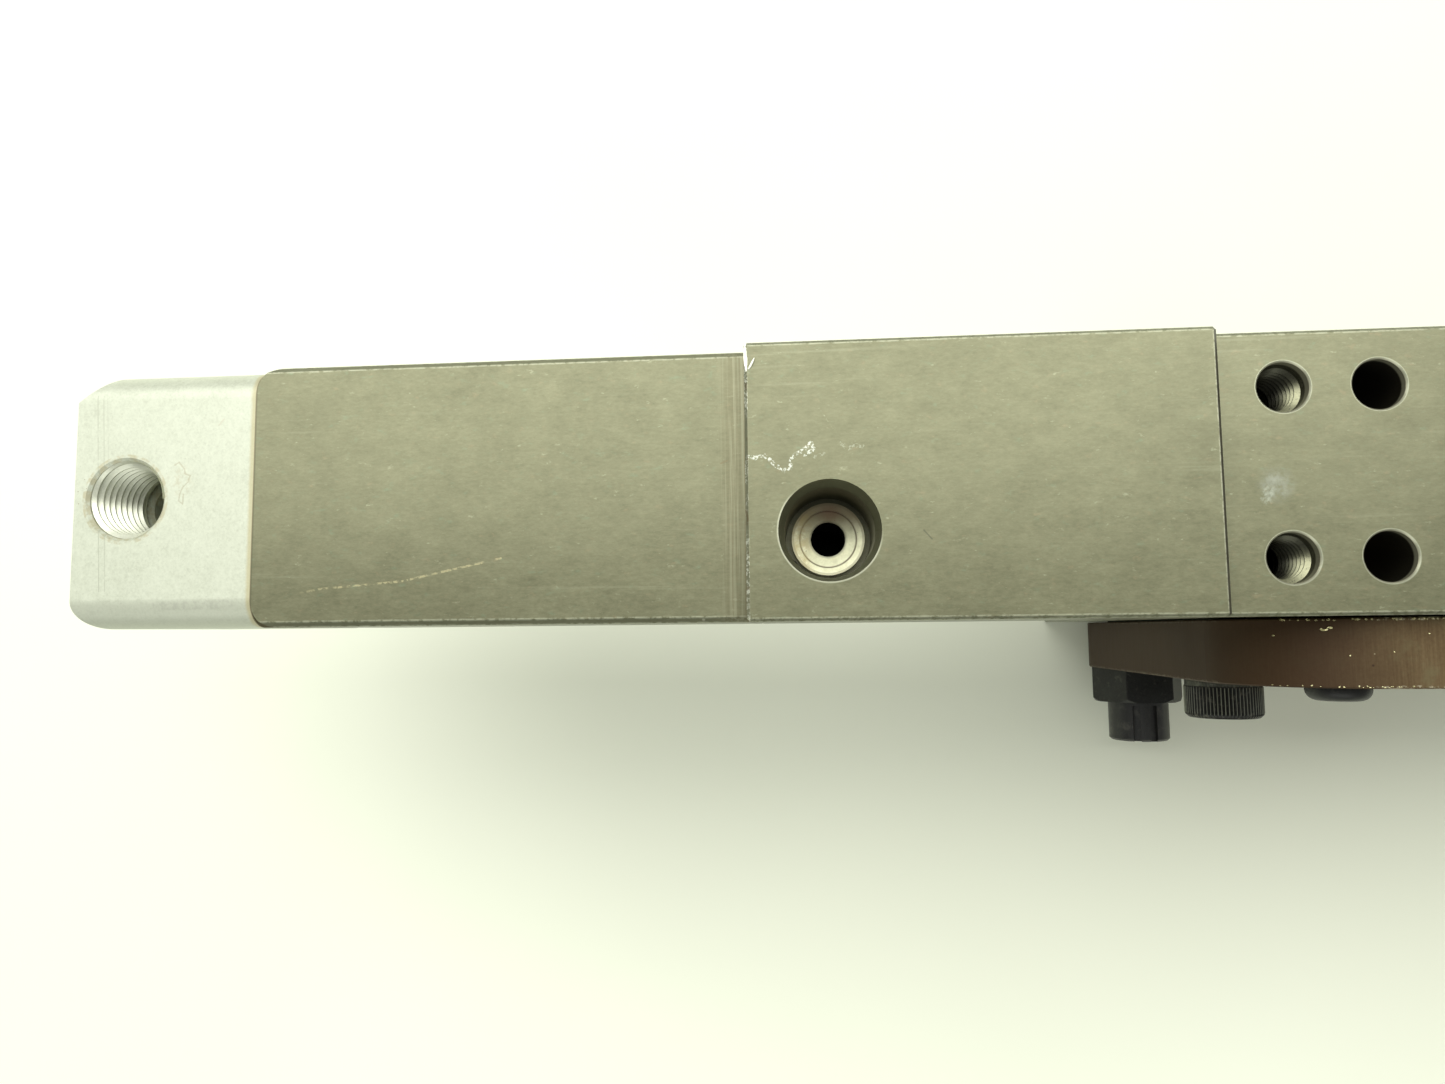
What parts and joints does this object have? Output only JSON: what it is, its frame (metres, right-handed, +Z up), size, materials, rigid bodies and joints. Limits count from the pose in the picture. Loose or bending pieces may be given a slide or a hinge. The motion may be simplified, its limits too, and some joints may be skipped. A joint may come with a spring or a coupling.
{
  "type": "pneumatic slide unit",
  "caption": "Pneumatic slide: a square-section cylinder drives a steel tooling plate on a ball-guide carriage in a tall housing.",
  "frame": {"origin": "centre of the housing's underside", "axes": "+X along the stroke, away from the cylinder; +Z up; -Y is the tooling plate's side"},
  "size_m": [0.3755, 0.0747, 0.122],
  "materials": {
    "bare_aluminium": "machined bare aluminium with small nicks",
    "grey_anodised": "hard-anodised olive grey, satin",
    "brown_steel": "brown-black heat-treated steel plate, satin",
    "black_steel": "black oxide",
    "bush_steel": "turned bright steel",
    "rail_steel": "ground hardened steel",
    "chromed_rod": "hard-chromed and polished",
    "bronze": "sintered bronze",
    "rubber": "moulded nitrile rubber",
    "black_plastic": "moulded black plastic",
    "green_plastic": "moulded dark green plastic",
    "magnet": "bonded ferrite"
  },
  "bodies": {
    "frame": {"end_cap": "bare_aluminium", "cap_bolts": "black_steel", "cap_o_ring": "rubber", "barrel": "grey_anodised", "head_o_ring": "rubber", "head_block": "grey_anodised", "port_bush": "bush_steel", "rod_seal": "rubber", "rod_bush": "bronze", "rod_wiper": "rubber", "head_screws": "black_steel", "housing": "grey_anodised", "rail": "rail_steel", "rail_screws": "black_steel", "rail_hole_caps": "black_plastic", "rear_bumpers": "rubber", "front_bumper": "rubber", "stop_screw": "black_steel", "stop_nut": "black_steel"},
    "carriage": {"saddle": "rail_steel", "ball_rows": "rail_steel", "saddle_cap_rear": "green_plastic", "saddle_cap_front": "green_plastic", "saddle_seal_rear": "rubber", "saddle_seal_front": "rubber", "carriage_plate": "brown_steel", "plate_screws": "black_steel", "plate_dowels": "bush_steel", "plug_stud": "black_steel", "plug_flange": "black_steel", "plug_neck": "black_plastic", "drive_lug": "brown_steel", "lug_screw": "black_steel", "piston_rod": "chromed_rod", "rod_jam_nut": "black_steel", "piston_nut": "black_steel", "piston": "bare_aluminium", "piston_seal_rear": "rubber", "piston_seal_front": "rubber", "piston_wear_band": "black_plastic", "magnet_ring": "magnet"}
  },
  "joints": [
    {"name": "carriage_slide", "type": "slide", "parent": "frame", "child": "carriage", "axis": [1, 0, 0], "range_m": [0, 0.04]}
  ]
}
